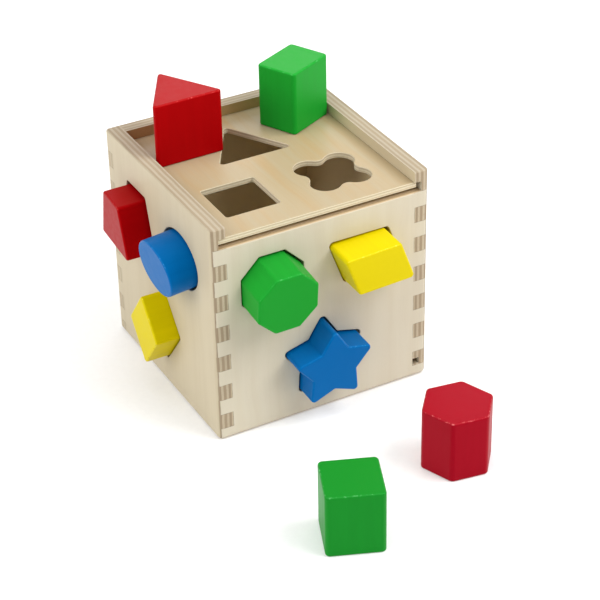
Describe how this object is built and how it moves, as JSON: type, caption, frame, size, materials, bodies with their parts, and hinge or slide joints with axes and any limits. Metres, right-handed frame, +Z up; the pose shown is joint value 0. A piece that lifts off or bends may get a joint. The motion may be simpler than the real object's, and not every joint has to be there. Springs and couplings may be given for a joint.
{
  "type": "shape sorter",
  "caption": "Plywood box with a sliding lid, shaped holes in its lid and walls, and matching painted wooden blocks.",
  "frame": {"origin": "the middle of the front wall's lower edge, on the ground the box stands on, halfway through the wall's thickness", "axes": "+X to the right when facing the front wall, +Y from the front wall to the back wall, +Z up"},
  "size_m": [0.1574, 0.2889, 0.1742],
  "materials": {
    "birch_ply_wall": "satin varnish",
    "birch_ply_base": "plain",
    "birch_ply_lid": "satin varnish",
    "green_enamel_wood": "satin paint",
    "red_enamel_wood": "satin paint",
    "blue_enamel_wood": "satin paint",
    "yellow_enamel_wood": "satin paint"
  },
  "bodies": {
    "box": {"front_panel": "birch_ply_wall", "back_panel": "birch_ply_wall", "left_panel": "birch_ply_wall", "right_panel": "birch_ply_wall", "bottom_panel": "birch_ply_base"},
    "lid": {"sliding_lid": "birch_ply_lid"},
    "octagon_piece": {"octagon_block": "green_enamel_wood"},
    "parallelogram_piece": {"parallelogram_block": "yellow_enamel_wood"},
    "star_piece": {"star_block": "blue_enamel_wood"},
    "trapezoid_piece": {"trapezoid_block": "red_enamel_wood"},
    "oval_piece": {"oval_block": "blue_enamel_wood"},
    "rhombus_piece": {"rhombus_block": "yellow_enamel_wood"},
    "cylinder_piece": {"cylinder_block": "yellow_enamel_wood"},
    "triangle_piece": {"triangle_block": "red_enamel_wood"},
    "rectangle_piece": {"rectangle_block": "green_enamel_wood"},
    "square_piece": {"square_block": "green_enamel_wood"},
    "hexagon_piece": {"hexagon_block": "red_enamel_wood"},
    "quatrefoil_piece": {"quatrefoil_block": "blue_enamel_wood"}
  },
  "joints": [
    {"name": "lid_slide", "type": "slide", "parent": "box", "child": "lid", "axis": [0, -1, 0], "range_m": [0, 0.15]},
    {"name": "octagon_slide", "type": "slide", "parent": "box", "child": "octagon_piece", "axis": [0, -0.9936, -0.1132], "range_m": [0, 0.024]},
    {"name": "parallelogram_slide", "type": "slide", "parent": "box", "child": "parallelogram_piece", "axis": [0.0174, -0.9985, -0.0523], "range_m": [-0.03, 0.024]},
    {"name": "star_slide", "type": "slide", "parent": "box", "child": "star_piece", "axis": [0, -0.9986, -0.0523], "range_m": [-0.026, 0.026]},
    {"name": "trapezoid_slide", "type": "slide", "parent": "box", "child": "trapezoid_piece", "axis": [-0.9981, 0.0506, -0.0349], "range_m": [-0.026, 0.026]},
    {"name": "oval_slide", "type": "slide", "parent": "box", "child": "oval_piece", "axis": [-0.9945, 0, -0.1045], "range_m": [0, 0.026]},
    {"name": "rhombus_slide", "type": "slide", "parent": "box", "child": "rhombus_piece", "axis": [-1, 0, 0], "range_m": [-0.018, 0.028]},
    {"name": "cylinder_slide", "type": "slide", "parent": "box", "child": "cylinder_piece", "axis": [0, 0.9986, -0.0523], "range_m": [-0.026, 0.026]},
    {"name": "quatrefoil_lift", "type": "slide", "parent": "box", "child": "quatrefoil_piece", "axis": [0, 0, 1], "range_m": [0, 0.06]},
    {"name": "triangle_lift", "type": "slide", "parent": "lid", "child": "triangle_piece", "axis": [0, 0, 1], "range_m": [0, 0.08]},
    {"name": "rectangle_lift", "type": "slide", "parent": "lid", "child": "rectangle_piece", "axis": [0, 0, 1], "range_m": [0, 0.08]},
    {"name": "square_lift", "type": "slide", "parent": "box", "child": "square_piece", "axis": [0, 0, 1], "range_m": [0, 0.08]},
    {"name": "hexagon_lift", "type": "slide", "parent": "box", "child": "hexagon_piece", "axis": [0, 0, 1], "range_m": [0, 0.08]}
  ]
}
